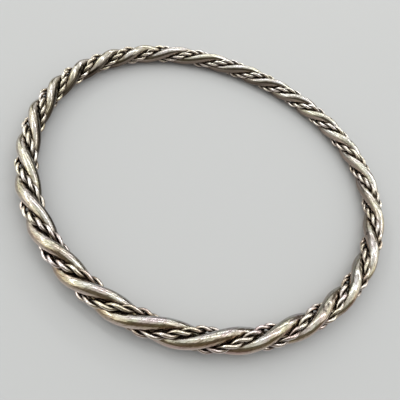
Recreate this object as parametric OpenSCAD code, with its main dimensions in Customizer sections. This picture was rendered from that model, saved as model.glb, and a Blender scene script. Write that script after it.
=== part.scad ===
// Twisted wire bangle. Two thick round wires are laid round each other in a left-handed
// twist, and a fine rope lies in each of the two grooves between them. The bangle is a
// closed ring that lies flat: its middle is at the origin and it rests on the plane z = 0.

/* [Ring] */
// Diameter of the ring at the middle of the twist
ring_d = 66; // [54:0.5:84]
// Rise of the ring's radius towards its long sides, where it is drawn out to an oval
oval_rise = 0.36; // [0:0.02:1.2]
// Direction of the oval's long axis
oval_angle = 153; // [0:1:180]
// Rise of the ring's radius towards three sides, left by bending it by hand
lobe_rise = 0.48; // [0:0.02:0.8]
// Direction of the first of the three rises
lobe_angle = 28; // [0:1:120]

/* [Twist] */
// Full turns of the thick wires round each other, over the whole ring
twist_turns = 12; // [8:1:14]
// Angle at which the first thick wire starts, from straight outwards
twist_start = 62.7; // [0:0.1:180]
// How uneven the hand-laid twist is: 0 is even, and 1 is as uneven as its table of waves says
uneven_ratio = 1; // [0:0.05:1.2]

/* [Wires] */
// Thickness of each thick wire
thick_d = 1.84; // [1.2:0.02:2.4]
// Thickness of each of the two thin wires that make a rope
thin_d = 0.56; // [0.4:0.02:0.7]
// Clearance between strands that lie against each other
strand_gap = 0.05; // [0.04:0.01:0.12]

/* [Hidden] */

// Flat sides round each strand, and cross-sections along it for each turn of the twist
thick_sides = 14;
rope_sides = 8;
sections_per_turn = 15;
section_count = twist_turns * sections_per_turn;

// A rope is as wide as its two thin wires side by side
rope_d = 2 * thin_d;

// Where the strands start round the twist: the thick wires lie opposite each other, and a rope
// lies in each groove between them
thick_angles = [0, 180];
rope_angles = [90, 270];

// The hand-laid twist runs ahead in some places and lags in others, in waves round the ring.
// Columns: waves in the whole ring, most degrees ahead, direction of the first crest.
wave_angles = [
    [1, 40.5, -160.9],
    [2, 9.8, -68.8],
    [3, 13.7, -43.8],
    [4, 11.7, -6.6]];
function sum(values) = values * [for (value = values) 1];
function degrees_ahead(angle) = uneven_ratio * sum([
    for (wave = wave_angles)
    let (waves = wave[0], ahead = wave[1], crest = wave[2])
    ahead * cos(waves * (angle - crest))]);

// Degrees that the twist turns in each degree of the ring
function twist_rate(angle) = twist_turns - uneven_ratio * PI / 180 * sum([
    for (wave = wave_angles)
    let (waves = wave[0], ahead = wave[1], crest = wave[2])
    waves * ahead * sin(waves * (angle - crest))]);
section_angles = [for (i = [0 : section_count - 1]) 360 * i / section_count];
tightest_rate = max([for (angle = section_angles) twist_rate(angle)]);

// Distance of each thick wire's middle from the middle of the twist. Between two
// cross-sections a strand cuts the corner, and the thick wires keep their clearance there.
thick_lay = (thick_d + strand_gap) / 2 / cos(180 * tightest_rate / section_count);

// Degrees that the twist turns in a millimetre, where it is tightest: at the ring's inside
tightest_turn = tightest_rate * 360 / (PI * (ring_d - 2 * thick_d));

// A rope lies a quarter turn on from a thick wire, and nearest to it a little further along.
// For each distance along the twist, this is the lay at which the rope just clears the wire,
// and the rope is seated at the largest of them.
rope_reach = (thick_d + rope_d) / 2 + strand_gap;
function clear_lay(along) =
    let (
        beside = thick_lay * sin(tightest_turn * along),
        below = thick_lay * cos(tightest_turn * along),
        room = rope_reach * rope_reach - along * along - below * below)
    room > 0 ? beside + sqrt(room) : 0;
search_step = thick_d / 100;
rope_lay = max([for (along = [0 : search_step : thick_d]) clear_lay(along)]);

// The lowest strand touches the plane that the bangle rests on
rest_height = max(thick_lay + thick_d / 2, rope_lay + rope_d / 2);

// The ring's radius in a direction, and how fast it grows with that direction
function ring_r(angle) = ring_d / 2
    + oval_rise * cos(2 * (angle - oval_angle))
    + lobe_rise * cos(3 * (angle - lobe_angle));
function ring_growth(angle) =
    -2 * oval_rise * sin(2 * (angle - oval_angle))
    - 3 * lobe_rise * sin(3 * (angle - lobe_angle));

// The middle of the twist
function ring_point(angle) = ring_r(angle) * [cos(angle), sin(angle), 0];

// Straight outwards from the ring, square to its line
function outward(angle) =
    let (grow = ring_growth(angle), r = ring_r(angle))
    [r * cos(angle) + grow * sin(angle), r * sin(angle) - grow * cos(angle), 0] / norm([r, grow]);

// From the middle of the twist to a strand that starts at this angle
function side_of_twist(angle, start) =
    let (turned = twist_turns * angle + twist_start + degrees_ahead(angle) + start)
    cos(turned) * outward(angle) + sin(turned) * [0, 0, 1];

// A point on a strand's middle line, from the middle of the ring
function strand_point(angle, lay, start) = ring_point(angle) + lay * side_of_twist(angle, start);

// The middle of the span that the thick wires cover along X and along Y
thick_points = [
    for (start = thick_angles, angle = section_angles) strand_point(angle, thick_lay, start)];
function middle_of(values) = (min(values) + max(values)) / 2;
ring_middle = [
    middle_of([for (p = thick_points) p.x]),
    middle_of([for (p = thick_points) p.y]),
    -rest_height];

// One closed strand: a round cross-section swept along its middle line
module strand(lay, start, d, sides) {
    step = 360 / section_count;
    sections = [
        for (i = [0 : section_count - 1])
        let (
            angle = section_angles[i],
            middle = strand_point(angle, lay, start) - ring_middle,
            ahead = strand_point(angle + step, lay, start) - strand_point(angle - step, lay, start),
            along = ahead / norm(ahead),
            side = side_of_twist(angle, start),
            across = side - (side * along) * along,
            out = across / norm(across),
            over = cross(out, along))
        for (j = [0 : sides - 1])
        let (turn = 360 * (j + 0.5) / sides)
        middle + d / 2 * (cos(turn) * out + sin(turn) * over)];
    function corner(i, j) = (i % section_count) * sides + j % sides;
    faces = [
        for (i = [0 : section_count - 1], j = [0 : sides - 1])
        each [
            [corner(i, j), corner(i, j + 1), corner(i + 1, j)],
            [corner(i, j + 1), corner(i + 1, j + 1), corner(i + 1, j)]]];
    polyhedron(points = sections, faces = faces, convexity = 20);
}

// First thick wire
module thick_wire_a() {
    color("silver") strand(thick_lay, thick_angles[0], thick_d, thick_sides);
}

// Second thick wire, half a turn on
module thick_wire_b() {
    color("silver") strand(thick_lay, thick_angles[1], thick_d, thick_sides);
}

// Rope in the first groove
module rope_a() {
    color("gray") strand(rope_lay, rope_angles[0], rope_d, rope_sides);
}

// Rope in the second groove
module rope_b() {
    color("gray") strand(rope_lay, rope_angles[1], rope_d, rope_sides);
}

thick_wire_a();
thick_wire_b();
rope_a();
rope_b();
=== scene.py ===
import bpy
import numpy as np
from mathutils import Matrix, kdtree


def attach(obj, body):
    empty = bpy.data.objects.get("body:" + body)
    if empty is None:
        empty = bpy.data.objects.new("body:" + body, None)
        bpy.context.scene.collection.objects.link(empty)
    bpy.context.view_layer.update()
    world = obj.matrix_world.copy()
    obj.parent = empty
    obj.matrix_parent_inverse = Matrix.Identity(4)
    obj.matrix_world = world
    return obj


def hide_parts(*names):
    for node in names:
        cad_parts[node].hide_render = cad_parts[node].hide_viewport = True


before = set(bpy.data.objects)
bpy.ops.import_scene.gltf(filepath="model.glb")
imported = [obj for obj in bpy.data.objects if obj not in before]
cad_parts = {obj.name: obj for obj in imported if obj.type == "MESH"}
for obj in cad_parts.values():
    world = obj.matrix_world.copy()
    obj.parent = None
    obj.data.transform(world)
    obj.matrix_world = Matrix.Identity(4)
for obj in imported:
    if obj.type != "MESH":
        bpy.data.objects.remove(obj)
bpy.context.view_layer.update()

# Sizes of the bangle, in millimetres and degrees, as the solids have them.
MM = 0.001
RING_D = 66.0
OVAL_RISE = 0.36
OVAL_ANGLE = 153.0
LOBE_RISE = 0.48
LOBE_ANGLE = 28.0
TWIST_TURNS = 12
TWIST_START = 62.7
THICK_D = 1.84
THIN_D = 0.56
STRAND_GAP = 0.05
# The hand-laid twist runs ahead and lags: waves round the ring, most degrees ahead, first crest.
TWIST_WAVES = ((1, 40.5, -160.9), (2, 9.8, -68.8), (3, 13.7, -43.8), (4, 11.7, -6.6))
# Where the strands start round the twist, in degrees.
THICK_STARTS = {"thick_wire_a": 0, "thick_wire_b": 180}
ROPE_STARTS = {"rope_a": 90, "rope_b": 270}
# Cross-sections of the solids for each turn of the twist, and places tried to seat a rope.
SECTIONS_PER_TURN = 15
CAD_SECTIONS = TWIST_TURNS * SECTIONS_PER_TURN
SEAT_TRIES = 101

# The two thin wires of a rope: the gap between them, their turns round the rope's line in the whole
# ring, and where each of them starts.
THIN_GAP = 0.02
ROPE_TURNS = 62
THIN_STARTS = {1: 0, 2: 180}
# Where each hand-twisted rope runs ahead: directions round the ring, and the degrees ahead there.
ROPE_AHEAD = {
    "rope_a": (
        (28, 36), (40, -24), (82, 44), (94, 44), (197, 103),
        (209, 79), (226, 119), (238, 179), (256, 106), (268, 94),
        (287, 170), (299, 182), (320, 149), (332, 119)),
    "rope_b": (
        (13, -48), (25, -48), (42, -26), (54, -26), (98, -76),
        (110, -76), (182, -25), (194, 29), (212, -72), (224, -66),
        (241, -146), (253, -86), (271, -153), (283, -111), (304, -76),
        (316, -118), (337, -144), (349, -222))}

# How finely the wires are drawn.
THICK_SIDES = 48
THICK_SECTIONS = 1440
THIN_SIDES = 14
THIN_SECTIONS_PER_TURN = 28
THIN_SECTIONS = ROPE_TURNS * THIN_SECTIONS_PER_TURN

# How far painted shade darkens the inside of the ring. Columns: direction round the ring, the share there,
# and the outward part of a surface's normal at which the painted shade starts. It is full a span further in.
THICK_PAINTED_INNER_SHADE = (
    (-45, 0.70, -0.60), (-25, 1.00, -0.60), (15, 1.00, -0.60), (40, 0.70, -0.55), (65, 0.80, -0.50),
    (85, 0.95, -0.50), (105, 0.85, -0.50), (140, 0.65, -0.40), (165, 0.85, -0.10), (198, 0.90, 0.00),
    (210, 0.70, -0.12), (232, 0.85, -0.16), (248, 0.50, -0.30), (264, 0.35, -0.50), (290, 0.40, -0.55))
THIN_PAINTED_INNER_SHADE = (
    (-45, 0.15, -0.20), (-15, 0.28, -0.10), (15, 0.28, -0.10), (60, 0.05, -0.30), (120, 0.05, -0.30),
    (165, 0.40, -0.05), (195, 0.60, 0.05), (215, 0.58, 0.00), (240, 0.58, 0.00), (280, 0.60, 0.00),
    (300, 0.15, -0.25))
PAINTED_INNER_SHADE_SPAN = 0.6
# How far the outside is stained olive and brown, partly patina and partly painted reflection, and how
# far a painted sheen makes the silver lighter and whiter. Columns: direction round the ring, and the
# share there.
PATINA_AND_REFLECTION = (
    (-35, 1.0), (-10, 0.7), (40, 0.5), (140, 0.3), (175, 0.2), (215, 0.5), (232, 0.8), (250, 0.9), (275, 1.0))
THICK_PAINTED_SHEEN = ((5, 0.0), (28, 1.0), (105, 1.0), (135, 0.0))
THIN_PAINTED_SHEEN = THICK_PAINTED_SHEEN + ((200, 0.0), (212.5, 1.0), (247.5, 1.0), (260, 0.0))
# Small nicks in the second thick wire. Columns: direction round the ring, place round the wire,
# and how far the nick reaches along the wire and across it.
NICKS = (
    (319.95, 353, 0.45, 0.21), (318.75, 33, 0.45, 0.20), (318.0, 6, 0.22, 0.22),
    (317.9, 28, 0.20, 0.20), (354.9, 5, 0.18, 0.40), (354.4, 28, 0.18, 0.25))
# The largest gap to another wire that is marked, in millimetres.
LARGEST_GAP = 9.0

# The noises of the silver, over the wire's surface in millimetres. Columns: how fine the noise is, how far
# it is drawn out along the wire, its detail and its roughness.
NOISES = {
    "clouds": (0.5, 2.0, 3.0, 0.55),
    "rose": (0.9, 3.0, 3.0, 0.55),
    "patches": (2.4, 3.0, 4.0, 0.60),
    "streaks": (5.0, 24.0, 4.0, 0.70),
    "scratches": (8.0, 50.0, 3.0, 0.60),
    "grain": (6.0, 3.2, 4.0, 0.72),
    "pits": (4.5, 1.2, 2.0, 0.55)}
# The dark of the creases, partly patina and partly painted shade, gives way to polished silver at a gap
# that changes from place to place.
# Columns: noise, and how far it moves that gap either way, over this range of the noise.
CREASE_CHANGES = (("patches", 0.12), ("streaks", 0.08), ("grain", 0.05))
CREASE_RANGE = (0.3, 0.7)
# The stains all over the silver. Columns: noise, its value where the stain starts and where it is full,
# the full share, and the tint.
STAINS = (
    ("clouds", 0.42, 0.58, 1.00, (0.92, 0.91, 0.77)),
    ("grain", 0.51, 0.63, 0.75, (0.34, 0.28, 0.23)),
    ("streaks", 0.50, 0.64, 0.45, (0.42, 0.36, 0.32)),
    ("scratches", 0.58, 0.66, 0.80, (0.36, 0.30, 0.26)))
# The rose tint goes with the share of patina and painted reflection, and the pits lie together in
# patches. Columns as above.
ROSE = ("rose", 0.46, 0.62, 1.00)
ROSE_TINT = (0.90, 0.79, 0.85)
PITS = ("pits", 0.58, 0.68, 0.60)
PIT_PATCHES = ("patches", 0.45, 0.60, 1.00)
PIT_TINT = (0.22, 0.18, 0.15)
# Tint of the painted sheen, which makes the silver lighter and whiter.
PAINTED_SHEEN_TINT = (1.12, 1.15, 1.20)
# Surfaces that face sideways or down turn pinkish, a painted reflection: the upward part of the normal at
# which that starts and at which it is full, its full share, and the gaps over which it comes in out of the
# creases.
UNDERSIDE_REFLECTION_RANGE = (0.42, 0.05)
UNDERSIDE_REFLECTION_SHARE = 0.85
UNDERSIDE_REFLECTION_GAPS = (0.15, 0.40)
UNDERSIDE_REFLECTION_COLOUR = (1.0, 0.83, 0.74)
# Tint of the inside of the ring by how far painted shade darkens it.
PAINTED_INNER_SHADE_TINTS = (
    (0.0, (1.0, 1.0, 1.0)),
    (0.2, (0.79, 0.77, 0.76)),
    (0.5, (0.54, 0.51, 0.47)),
    (0.8, (0.12, 0.105, 0.085)))
NICK_COLOUR = (0.015, 0.011, 0.010)
NICK_SHARE = 0.95
NICK_ROUGHNESS = 0.5
# How rough the silver is. Columns: noise, its low and high value, and the roughness at each.
ROUGHNESSES = (("streaks", 0.35, 0.65, 0.07, 0.18), ("grain", 0.30, 0.70, -0.02, 0.08))
DULL_ROUGHNESS = 0.30
# The relief, as shares of its height, which is in millimetres.
STREAK_HEIGHT = 0.40
GRAIN_HEIGHT = 0.18
SCRATCHES_CUT = ("scratches", 0.58, 0.66, 0.40)
PIT_DEPTH = 0.15
RELIEF_STRENGTH = 0.38
RELIEF_HEIGHT = 0.04
# The silver of the thick and the thin wires. Its tones go by the gap to the wire beside, in millimetres,
# and are darkest in the creases, partly from patina and partly from painted shade. It is dull up to one gap
# and polished from another, and the tint of patina and painted reflection goes from the inside of the
# ring, at 0, to its outside, at 1.
THICK_SILVER = {
    # Tones by the gap: dark in the creases, partly patina and partly painted shade.
    "tones": (
        (0.02, (0.010, 0.007, 0.005)),
        (0.12, (0.050, 0.036, 0.027)),
        (0.22, (0.17, 0.138, 0.108)),
        (0.36, (0.40, 0.37, 0.330)),
        (0.60, (0.58, 0.57, 0.545))),
    "dull_to_polished": (0.06, 0.35),
    # Tints of patina and painted reflection, by the way the surface faces.
    "patina_and_reflection": (
        (0.25, (0.91, 0.96, 1.00)),
        (0.50, (0.96, 0.98, 0.98)),
        (0.65, (0.97, 0.99, 0.90)),
        (0.80, (1.00, 0.90, 0.74)),
        (0.93, (1.00, 0.835, 0.73)),
        (1.00, (1.00, 0.86, 0.83)))}
THIN_SILVER = {
    # Tones by the gap: dark in the creases, partly patina and partly painted shade.
    "tones": (
        (0.02, (0.006, 0.004, 0.003)),
        (0.11, (0.036, 0.026, 0.020)),
        (0.19, (0.17, 0.144, 0.118)),
        (0.30, (0.55, 0.53, 0.49)),
        (0.45, (0.86, 0.85, 0.81))),
    "dull_to_polished": (0.06, 0.3),
    # Tints of patina and painted reflection, by the way the surface faces.
    "patina_and_reflection": (
        (0.25, (0.98, 0.97, 1.00)),
        (0.60, (1.00, 0.98, 1.00)),
        (1.00, (1.00, 0.945, 0.96)))}

# The floor, in metres, and the room as it lights things, as it is seen, and as the silver reflects it.
FLOOR_HALF = 4.0
FLOOR_COLOUR = (0.325, 0.33, 0.331)
FLOOR_ROUGHNESS = 0.7
FLOOR_SPECULAR = 0.2
ROOM_LIGHT = (0.80, 0.80, 0.80)
ROOM_BACKGROUND = (0.26, 0.262, 0.26)
ROOM_REFLECTION = (0.19, 0.165, 0.122)
# The lights, which face the bangle. Columns: direction, degrees raised, distance, width and height in
# metres, glow and colour.
LIGHTS = {
    "top_softbox": (90, 82, 0.60, (0.80, 0.80), 0.90, (1.0, 1.0, 0.98)),
    "top_strip": (80, 68, 0.55, (0.70, 0.045), 6.00, (1.0, 1.0, 1.0)),
    "left_softbox": (185, 28, 0.80, (1.45, 0.95), 1.20, (1.0, 1.0, 0.93)),
    "left_strip": (175, 40, 0.75, (1.00, 0.045), 7.00, (1.0, 1.0, 1.0)),
    "back_softbox": (100, 30, 0.80, (0.80, 0.60), 0.95, (1.0, 0.98, 0.96)),
    "back_strip": (75, 33, 0.75, (1.00, 0.045), 6.00, (1.0, 1.0, 1.0)),
    "right_softbox": (22, 34, 0.80, (0.66, 0.80), 1.28, (1.0, 0.98, 0.94))}

# The camera where the photograph was taken from: its distance from the ring's middle in millimetres, the
# degrees that it is raised and rolled, and in pixels of the picture its focal length and the ring's middle.
CAMERA_DISTANCE = 72.840
CAMERA_RAISED = 45.435
CAMERA_ROLLED = 22.002
PICTURE_SIZE = 400.0
FOCAL_LENGTH = 380.0
RING_IN_PICTURE = (212.09, 161.94)
SENSOR_WIDTH = 36.0
# The nearest and the farthest that the camera sees, in metres.
NEAREST_SEEN = 0.001
FARTHEST_SEEN = 20.0

# Sockets of a mix node that mixes colours. Its other sockets have the same names, so they are numbered.
MIX_SHARE = 0
MIX_FIRST = 6
MIX_SECOND = 7
MIX_RESULT = 2


def angles(count):
    """Angles spread evenly over a full turn."""
    return np.arange(count) * 2 * np.pi / count


def tightest_rate():
    """How fast the twist turns with the ring, where it is tightest."""
    angle = angles(CAD_SECTIONS)
    rate = TWIST_TURNS + 0 * angle
    for waves, ahead, crest in TWIST_WAVES:
        rate = rate - waves * np.radians(ahead) * np.sin(waves * (angle - np.radians(crest)))
    return rate.max()


TIGHTEST_RATE = tightest_rate()
THICK_LAY = (THICK_D + STRAND_GAP) / 2 / np.cos(np.pi * TIGHTEST_RATE / CAD_SECTIONS)


def rope_seat():
    """How far a rope's middle is from the middle of the twist, where it just clears the thick wires."""
    turn = TIGHTEST_RATE * 2 / (RING_D - 2 * THICK_D)
    reach = (THICK_D + 2 * THIN_D) / 2 + STRAND_GAP
    along = np.linspace(0, THICK_D, SEAT_TRIES)
    beside = THICK_LAY * np.sin(turn * along)
    below = THICK_LAY * np.cos(turn * along)
    room = reach ** 2 - along ** 2 - below ** 2
    return np.max(np.where(room > 0, beside + np.sqrt(np.maximum(room, 0)), 0))


ROPE_LAY = rope_seat()
REST_HEIGHT = max(THICK_LAY + THICK_D / 2, ROPE_LAY + THIN_D)


def ring_radius(angle):
    """The ring's radius in a direction, and how fast it grows with that direction."""
    oval = 2 * (angle - np.radians(OVAL_ANGLE))
    lobe = 3 * (angle - np.radians(LOBE_ANGLE))
    radius = RING_D / 2 + OVAL_RISE * np.cos(oval) + LOBE_RISE * np.cos(lobe)
    growth = -2 * OVAL_RISE * np.sin(oval) - 3 * LOBE_RISE * np.sin(lobe)
    return radius, growth


def ring_point(angle):
    """The middle of the twist in a direction from the middle of the ring."""
    radius = ring_radius(angle)[0]
    return np.stack([radius * np.cos(angle), radius * np.sin(angle), 0 * angle], axis=-1)


def unit(vectors):
    """The vectors, made one long."""
    return vectors / np.linalg.norm(vectors, axis=-1, keepdims=True)


def outward(angle):
    """Straight outwards from the ring, square to its line."""
    radius, growth = ring_radius(angle)
    return unit(np.stack([
        radius * np.cos(angle) + growth * np.sin(angle),
        radius * np.sin(angle) - growth * np.cos(angle),
        0 * angle], axis=-1))


def side_of_twist(angle, start):
    """From the middle of the twist towards a strand that starts at this angle, in degrees."""
    turned = TWIST_TURNS * angle + np.radians(TWIST_START + start)
    for waves, ahead, crest in TWIST_WAVES:
        turned = turned + np.radians(ahead) * np.cos(waves * (angle - np.radians(crest)))
    up = np.array([0.0, 0.0, 1.0])
    return np.cos(turned)[:, None] * outward(angle) + np.sin(turned)[:, None] * up


def ring_middle():
    """The middle of the span that the thick wires cover, raised to rest on the plane of the solids."""
    angle = angles(CAD_SECTIONS)
    points = np.concatenate([
        ring_point(angle) + THICK_LAY * side_of_twist(angle, start) for start in THICK_STARTS.values()])
    middle = (points.min(axis=0) + points.max(axis=0)) / 2
    middle[2] = -REST_HEIGHT
    return middle


RING_MIDDLE = ring_middle()


def strand_line(angle, lay, start):
    """A strand's middle line, in millimetres in the frame of the solids."""
    return ring_point(angle) - RING_MIDDLE + lay * side_of_twist(angle, start)


def along_line(points):
    """Direction of a closed line at each of its points."""
    return unit(np.roll(points, -1, axis=0) - np.roll(points, 1, axis=0))


def length_of(points):
    """Length of a closed line."""
    return np.linalg.norm(np.roll(points, -1, axis=0) - points, axis=1).sum()


def square_to(vectors, along):
    """The vectors, made square to a line's direction."""
    return unit(vectors - (vectors * along).sum(axis=1, keepdims=True) * along)


def by_direction(degrees, table):
    """The columns of a table after its first, read at these directions round the ring."""
    directions, *columns = np.array(table).T
    return [np.interp(degrees, directions, column, period=360) for column in columns]


def thin_line(angle, rope, start):
    """A thin wire's middle line round its rope's own line."""
    ahead = by_direction(np.degrees(angle), ROPE_AHEAD[rope])[0]
    middle = strand_line(angle, ROPE_LAY, ROPE_STARTS[rope])
    along = along_line(middle)
    out = square_to(side_of_twist(angle, ROPE_STARTS[rope]), along)
    over = np.cross(along, out)
    turned = ROPE_TURNS * angle + np.radians(start + ahead)
    lay = (THIN_D + THIN_GAP) / 2
    return middle + lay * (np.cos(turned)[:, None] * out + np.sin(turned)[:, None] * over)


def add_values(mesh, name, values):
    """Keeps a number for each of the mesh's points, for its material to read."""
    kept = mesh.attributes.new(name, "FLOAT", "POINT")
    kept.data.foreach_set("value", values.astype(np.float32))


def read_vectors(piece, kind):
    """The places or the normals of a piece's points."""
    found = np.empty(len(piece.data.vertices) * 3)
    piece.data.vertices.foreach_get(kind, found)
    return found.reshape(-1, 3)


def tube(name, points, out, diameter, sides):
    """A closed wire swept along a line, with places along and around it kept for the material."""
    along = along_line(points)
    out = square_to(out, along)
    over = np.cross(out, along)
    turn = angles(sides)
    count = len(points)
    ring = np.cos(turn)[None, :, None] * out[:, None, :] + np.sin(turn)[None, :, None] * over[:, None, :]
    places = (points[:, None, :] + diameter / 2 * ring).reshape(-1, 3) * MM
    i = np.arange(count)[:, None]
    j = np.arange(sides)[None, :]
    after = (i + 1) % count
    beside = (j + 1) % sides
    quads = np.stack([
        after * sides + j,
        after * sides + beside,
        i * sides + beside,
        i * sides + j], axis=-1).reshape(-1, 4)
    mesh = bpy.data.meshes.new(name)
    mesh.vertices.add(len(places))
    mesh.vertices.foreach_set("co", places.ravel())
    mesh.loops.add(quads.size)
    mesh.loops.foreach_set("vertex_index", quads.ravel())
    mesh.polygons.add(len(quads))
    mesh.polygons.foreach_set("loop_start", np.arange(0, quads.size, 4))
    mesh.polygons.foreach_set("use_smooth", np.ones(len(quads), dtype=bool))
    mesh.update(calc_edges=True)
    mesh.validate()
    # The wire is closed, so its length is kept as a place on a circle as long as the wire.
    circle = length_of(points) / (2 * np.pi)
    add_values(mesh, "wire_east", np.repeat(circle * np.cos(angles(count)), sides))
    add_values(mesh, "wire_north", np.repeat(circle * np.sin(angles(count)), sides))
    add_values(mesh, "wire_out", np.tile(diameter / 2 * np.cos(turn), count))
    add_values(mesh, "wire_over", np.tile(diameter / 2 * np.sin(turn), count))
    piece = bpy.data.objects.new(name, mesh)
    bpy.context.scene.collection.objects.link(piece)
    return piece


def mark_gaps(pieces, lines):
    """Marks how far each point of a wire is from the wires beside it, in millimetres."""
    trees = {}
    for name, (points, diameter) in lines.items():
        tree = kdtree.KDTree(len(points))
        for index, point in enumerate(points):
            tree.insert(point, index)
        tree.balance()
        trees[name] = (tree, diameter / 2)
    for name, piece in pieces.items():
        places = read_vectors(piece, "co") / MM
        nearest = np.full(len(places), LARGEST_GAP)
        for other, (tree, radius) in trees.items():
            if other == name:
                continue
            for index, place in enumerate(places):
                gap = tree.find(place)[2] - radius
                if gap < nearest[index]:
                    nearest[index] = gap
        add_values(piece.data, "gap", nearest)


def mark_age(piece, painted_inner_shade, painted_sheen):
    """Marks how far each surface faces out of the ring, and the shares of its olive and brown staining and
    painted reflection, painted sheen and painted shade.
    """
    places = read_vectors(piece, "co") / MM + RING_MIDDLE
    direction = np.arctan2(places[:, 1], places[:, 0])
    facing = (read_vectors(piece, "normal") * outward(direction)).sum(axis=1)
    degrees = np.degrees(direction)
    share, start = by_direction(degrees, painted_inner_shade)
    add_values(piece.data, "facing", facing)
    # Share of patina and painted reflection round the ring.
    add_values(piece.data, "patina_and_reflection", by_direction(degrees, PATINA_AND_REFLECTION)[0])
    # Share of painted sheen round the ring.
    add_values(piece.data, "painted_sheen", by_direction(degrees, painted_sheen)[0])
    # Share of painted shade on faces turned into the ring.
    add_values(piece.data, "painted_inner_shade", share * np.clip((start - facing) / PAINTED_INNER_SHADE_SPAN, 0, 1))


def turned_from(angle, other):
    """The angle from one direction to another, from half a turn back to half a turn on."""
    return (angle - other + np.pi) % (2 * np.pi) - np.pi


def mark_nicks(piece, points):
    """Marks the nicks in a thick wire, each as a small soft hollow."""
    direction = np.repeat(angles(THICK_SECTIONS), THICK_SIDES)
    place = np.tile(angles(THICK_SIDES), THICK_SECTIONS)
    circle = length_of(points) / (2 * np.pi)
    depth = np.zeros(len(direction))
    for nick_direction, nick_place, reach_along, reach_across in NICKS:
        along = circle * turned_from(direction, np.radians(nick_direction))
        across = THICK_D / 2 * turned_from(place, np.radians(nick_place))
        depth = np.maximum(depth, np.exp(-(along / reach_along) ** 2 - (across / reach_across) ** 2))
    add_values(piece.data, "nick", depth)


def rgba(colour):
    """The colour with full cover."""
    return tuple(colour) + (1.0,)


class Nodes:
    """Builds a material's nodes and joins them."""

    def __init__(self, name):
        self.material = bpy.data.materials.new(name)
        self.material.use_nodes = True
        self.tree = self.material.node_tree
        self.shader = self.tree.nodes["Principled BSDF"]

    def add(self, kind, settings=None, **inputs):
        """A node of this kind, with its settings and inputs."""
        node = self.tree.nodes.new(kind)
        for key, value in (settings or {}).items():
            setattr(node, key, value)
        for key, value in inputs.items():
            self.set(node.inputs[key.replace("_", " ")], value)
        return node

    def set(self, socket, value):
        """Joins a socket to another one, or gives it a value."""
        if isinstance(value, bpy.types.NodeSocket):
            self.tree.links.new(value, socket)
        else:
            socket.default_value = value

    def value(self, name):
        """A number that the mesh keeps for each of its points."""
        return self.add("ShaderNodeAttribute", {"attribute_name": name}).outputs["Fac"]

    def math(self, operation, first, second, clamp=False):
        """One step of arithmetic, held between 0 and 1 if clamp says so."""
        node = self.add("ShaderNodeMath", {"operation": operation, "use_clamp": clamp})
        self.set(node.inputs[0], first)
        self.set(node.inputs[1], second)
        return node.outputs[0]

    def noise(self, scale, stretch, detail, roughness):
        """Noise on the wire's surface, drawn out along the wire."""
        place = self.add(
            "ShaderNodeCombineXYZ",
            X=self.math("DIVIDE", self.value("wire_east"), stretch),
            Y=self.math("DIVIDE", self.value("wire_north"), stretch),
            Z=self.value("wire_out")).outputs[0]
        return self.add(
            "ShaderNodeTexNoise", {"noise_dimensions": "4D"}, Vector=place, W=self.value("wire_over"),
            Scale=scale, Detail=detail, Roughness=roughness).outputs["Fac"]

    def ramp(self, value, stops):
        """A colour that goes by a value, from stop to stop."""
        node = self.add("ShaderNodeValToRGB", Fac=value)
        elements = node.color_ramp.elements
        # A new stop lands halfway, and is then moved to its own place.
        while len(elements) < len(stops):
            elements.new(0.5)
        for element, (position, colour) in zip(elements, stops):
            element.position = position
            element.color = rgba(colour)
        return node.outputs["Color"]

    def mix(self, share, first, second, blend="MIX"):
        """The first colour, with a share of the second mixed into it or multiplied by it."""
        node = self.add("ShaderNodeMix", {"data_type": "RGBA", "blend_type": blend})
        self.set(node.inputs[MIX_SHARE], share)
        self.set(node.inputs[MIX_FIRST], first)
        self.set(node.inputs[MIX_SECOND], second)
        return node.outputs[MIX_RESULT]

    def spread(self, value, low, high, to_low, to_high):
        """The value, spread from one range to another and held at its ends."""
        node = self.add("ShaderNodeMapRange")
        for index, number in enumerate((value, low, high, to_low, to_high)):
            self.set(node.inputs[index], number)
        return node.outputs[0]

    def share_of(self, noises, noise, start, full, share):
        """A share that grows with a noise, from none to this much."""
        return self.spread(noises[noise], start, full, 0.0, share)


def worn_gap(n, noises):
    """The gap to the wire beside, as the wear of the silver changes it from place to place."""
    worn = n.value("gap")
    for noise, reach in CREASE_CHANGES:
        worn = n.math("ADD", worn, n.spread(noises[noise], *CREASE_RANGE, -reach, reach))
    return worn


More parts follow.
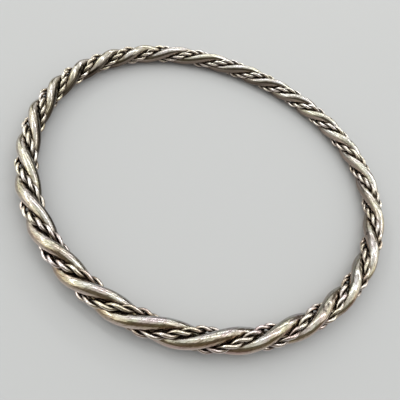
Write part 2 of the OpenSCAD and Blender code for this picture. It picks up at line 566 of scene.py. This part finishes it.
def silver_colour(n, noises, worn, pitted, look):
    """The silver's colour: its tone by the gap, dark in the creases partly from painted shade, and then each
    of its stains and tints, with painted reflections, a painted sheen and painted shade among them.
    """
    # Tone by the gap: dark in the creases, partly patina and partly painted shade.
    colour = n.ramp(worn, look["tones"])
    for *columns, tint in STAINS:
        colour = n.mix(n.share_of(noises, *columns), colour, rgba(tint), "MULTIPLY")
    rosy = n.math("MULTIPLY", n.share_of(noises, *ROSE), n.value("patina_and_reflection"))
    colour = n.mix(rosy, colour, rgba(ROSE_TINT), "MULTIPLY")
    # Patina and painted reflection: olive, brown and pink tints by the way the surface faces out of the ring.
    reflection_and_patina_tint = n.ramp(n.spread(n.value("facing"), -1.0, 1.0, 0.0, 1.0), look["patina_and_reflection"])
    colour = n.mix(n.value("patina_and_reflection"), colour, reflection_and_patina_tint, "MULTIPLY")
    # Painted sheen: lighter, whiter silver in some directions round the ring.
    colour = n.mix(n.value("painted_sheen"), colour, rgba(PAINTED_SHEEN_TINT), "MULTIPLY")
    colour = n.mix(pitted, colour, rgba(PIT_TINT), "MULTIPLY")
    # Painted reflection: surfaces that face sideways or down turn light pink, out of the creases.
    normal = n.add("ShaderNodeSeparateXYZ", Vector=n.add("ShaderNodeNewGeometry").outputs["Normal"])
    under = n.math(
        "MULTIPLY",
        n.spread(normal.outputs["Z"], *UNDERSIDE_REFLECTION_RANGE, 0.0, UNDERSIDE_REFLECTION_SHARE),
        n.spread(worn, *UNDERSIDE_REFLECTION_GAPS, 0.0, 1.0))
    colour = n.mix(under, colour, rgba(UNDERSIDE_REFLECTION_COLOUR))
    # Painted shade: faces turned into the ring are darkened.
    colour = n.mix(1.0, colour, n.ramp(n.value("painted_inner_shade"), PAINTED_INNER_SHADE_TINTS), "MULTIPLY")
    return n.mix(n.math("MULTIPLY", n.value("nick"), NICK_SHARE), colour, rgba(NICK_COLOUR))


def silver_roughness(n, noises, worn, look):
    """The silver's roughness: most in the creases and the nicks."""
    rough = n.math("MULTIPLY", n.value("nick"), NICK_ROUGHNESS)
    for noise, *columns in ROUGHNESSES:
        rough = n.math("ADD", rough, n.spread(noises[noise], *columns))
    dull = n.spread(worn, *look["dull_to_polished"], DULL_ROUGHNESS, 0.0)
    return n.math("ADD", rough, dull, clamp=True)


def silver_relief(n, noises, pitted):
    """The silver's fine relief: streaks and grain, with scratches, nicks and pits cut into it."""
    height = n.math(
        "ADD",
        n.math("MULTIPLY", noises["streaks"], STREAK_HEIGHT),
        n.math("MULTIPLY", noises["grain"], GRAIN_HEIGHT))
    height = n.math("SUBTRACT", height, n.share_of(noises, *SCRATCHES_CUT))
    height = n.math("SUBTRACT", height, n.value("nick"))
    height = n.math("SUBTRACT", height, n.math("MULTIPLY", pitted, PIT_DEPTH))
    bump = n.add("ShaderNodeBump", Strength=RELIEF_STRENGTH, Distance=RELIEF_HEIGHT * MM, Height=height)
    return bump.outputs["Normal"]


def silver(name, look):
    """Darkened silver: polished where hands and clothes rub it, brown to black in the creases from oxide and
    painted shade, with painted reflections, a painted sheen and painted shade inside the ring.
    """
    n = Nodes(name)
    noises = {noise: n.noise(*columns) for noise, columns in NOISES.items()}
    worn = worn_gap(n, noises)
    pitted = n.math("MULTIPLY", n.share_of(noises, *PITS), n.share_of(noises, *PIT_PATCHES))
    n.set(n.shader.inputs["Base Color"], silver_colour(n, noises, worn, pitted, look))
    n.set(n.shader.inputs["Roughness"], silver_roughness(n, noises, worn, look))
    n.set(n.shader.inputs["Normal"], silver_relief(n, noises, pitted))
    n.shader.inputs["Metallic"].default_value = 1.0
    return n.material


def add_floor():
    """A plain pale surface under the bangle."""
    half = FLOOR_HALF
    mesh = bpy.data.meshes.new("floor")
    corners = [(-half, -half, 0), (half, -half, 0), (half, half, 0), (-half, half, 0)]
    mesh.from_pydata(corners, [], [(0, 1, 2, 3)])
    floor = bpy.data.objects.new("floor", mesh)
    bpy.context.scene.collection.objects.link(floor)
    n = Nodes("pale_floor")
    n.shader.inputs["Base Color"].default_value = rgba(FLOOR_COLOUR)
    n.shader.inputs["Roughness"].default_value = FLOOR_ROUGHNESS
    n.shader.inputs["Specular IOR Level"].default_value = FLOOR_SPECULAR
    mesh.materials.append(n.material)


def add_turned(name, data, axes, place):
    """A light or camera at a place, with its right, up and back along these axes."""
    added = bpy.data.objects.new(name, data)
    matrix = Matrix.Identity(4)
    for row in range(3):
        for column in range(3):
            matrix[row][column] = axes[column][row]
        matrix[row][3] = place[row]
    added.matrix_world = matrix
    bpy.context.scene.collection.objects.link(added)
    return added


def add_softbox(name, direction, raised, distance, size, glow, colour):
    """A soft rectangular light that faces the bangle, as bright as its glow says."""
    light = bpy.data.lights.new(name, "AREA")
    light.shape = "RECTANGLE"
    light.size, light.size_y = size
    light.energy = glow * np.pi * size[0] * size[1]
    light.color = colour
    turned = np.radians(direction)
    height = np.radians(raised)
    back = np.array([
        np.cos(height) * np.cos(turned), np.cos(height) * np.sin(turned), np.sin(height)])
    right = np.array([-np.sin(turned), np.cos(turned), 0.0])
    add_turned(name, light, (right, np.cross(back, right), back), back * distance)


def add_room():
    """The room round the floor: pale where it lights the floor, and dim and brown in reflections."""
    world = bpy.data.worlds.new("studio")
    world.use_nodes = True
    tree = world.node_tree
    path = tree.nodes.new("ShaderNodeLightPath")
    seen = tree.nodes.new("ShaderNodeMix")
    reflected = tree.nodes.new("ShaderNodeMix")
    for mix, ray, colour in (
            (seen, "Is Camera Ray", ROOM_BACKGROUND), (reflected, "Is Glossy Ray", ROOM_REFLECTION)):
        mix.data_type = "RGBA"
        tree.links.new(path.outputs[ray], mix.inputs[MIX_SHARE])
        mix.inputs[MIX_SECOND].default_value = rgba(colour)
    seen.inputs[MIX_FIRST].default_value = rgba(ROOM_LIGHT)
    tree.links.new(seen.outputs[MIX_RESULT], reflected.inputs[MIX_FIRST])
    tree.links.new(reflected.outputs[MIX_RESULT], tree.nodes["Background"].inputs["Color"])
    bpy.context.scene.world = world


def add_camera():
    """The camera where the photograph was taken from."""
    raised = np.radians(CAMERA_RAISED)
    rolled = np.radians(CAMERA_ROLLED)
    back = np.array([0.0, -np.cos(raised), np.sin(raised)])
    level = np.array([1.0, 0.0, 0.0])
    upright = np.cross(back, level)
    right = np.cos(rolled) * level + np.sin(rolled) * upright
    up = -np.sin(rolled) * level + np.cos(rolled) * upright
    # The ring's middle is off the middle of the picture, so the camera is turned towards it.
    across, down = (np.array(RING_IN_PICTURE) - PICTURE_SIZE / 2) / FOCAL_LENGTH
    seen = unit(np.array([across, -down, -1.0]))
    ahead = np.array([0.0, 0.0, -1.0])
    axis = np.cross(ahead, seen)
    skew = np.array([
        [0, -axis[2], axis[1]],
        [axis[2], 0, -axis[0]],
        [-axis[1], axis[0], 0]])
    turn = np.eye(3) + skew + skew @ skew / (1 + ahead @ seen)
    data = bpy.data.cameras.new("camera")
    data.sensor_width = SENSOR_WIDTH
    data.lens = FOCAL_LENGTH / PICTURE_SIZE * SENSOR_WIDTH
    data.clip_start = NEAREST_SEEN
    data.clip_end = FARTHEST_SEEN
    place = (back * CAMERA_DISTANCE - RING_MIDDLE) * MM
    bpy.context.scene.camera = add_turned("camera", data, turn @ np.stack([right, up, back]), place)


pieces = {}
lines = {}
# The two thick wires.
for name, start in THICK_STARTS.items():
    angle = angles(THICK_SECTIONS)
    points = strand_line(angle, THICK_LAY, start)
    piece = tube(name + "_silver", points, side_of_twist(angle, start), THICK_D, THICK_SIDES)
    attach(piece, "root")
    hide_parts(name)
    pieces[piece.name] = piece
    lines[piece.name] = (points, THICK_D)

# The two ropes, each of two thin wires.
for name, start in ROPE_STARTS.items():
    angle = angles(THIN_SECTIONS)
    for number, thin_start in THIN_STARTS.items():
        points = thin_line(angle, name, thin_start)
        piece = tube(
            name + "_thin_wire_" + str(number), points, side_of_twist(angle, start), THIN_D, THIN_SIDES)
        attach(piece, "root")
        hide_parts(name)
        pieces[piece.name] = piece
        lines[piece.name] = (points, THIN_D)

mark_gaps(pieces, lines)
mark_nicks(pieces["thick_wire_b_silver"], lines["thick_wire_b_silver"][0])
thick_silver = silver("aged_silver_thick", THICK_SILVER)
thin_silver = silver("aged_silver_thin", THIN_SILVER)
for name, piece in pieces.items():
    if name.startswith("thick"):
        mark_age(piece, THICK_PAINTED_INNER_SHADE, THICK_PAINTED_SHEEN)
        piece.data.materials.append(thick_silver)
    else:
        mark_age(piece, THIN_PAINTED_INNER_SHADE, THIN_PAINTED_SHEEN)
        piece.data.materials.append(thin_silver)

add_floor()
for name, columns in LIGHTS.items():
    add_softbox(name, *columns)
add_room()
bpy.context.scene.view_settings.view_transform = "Standard"
add_camera()
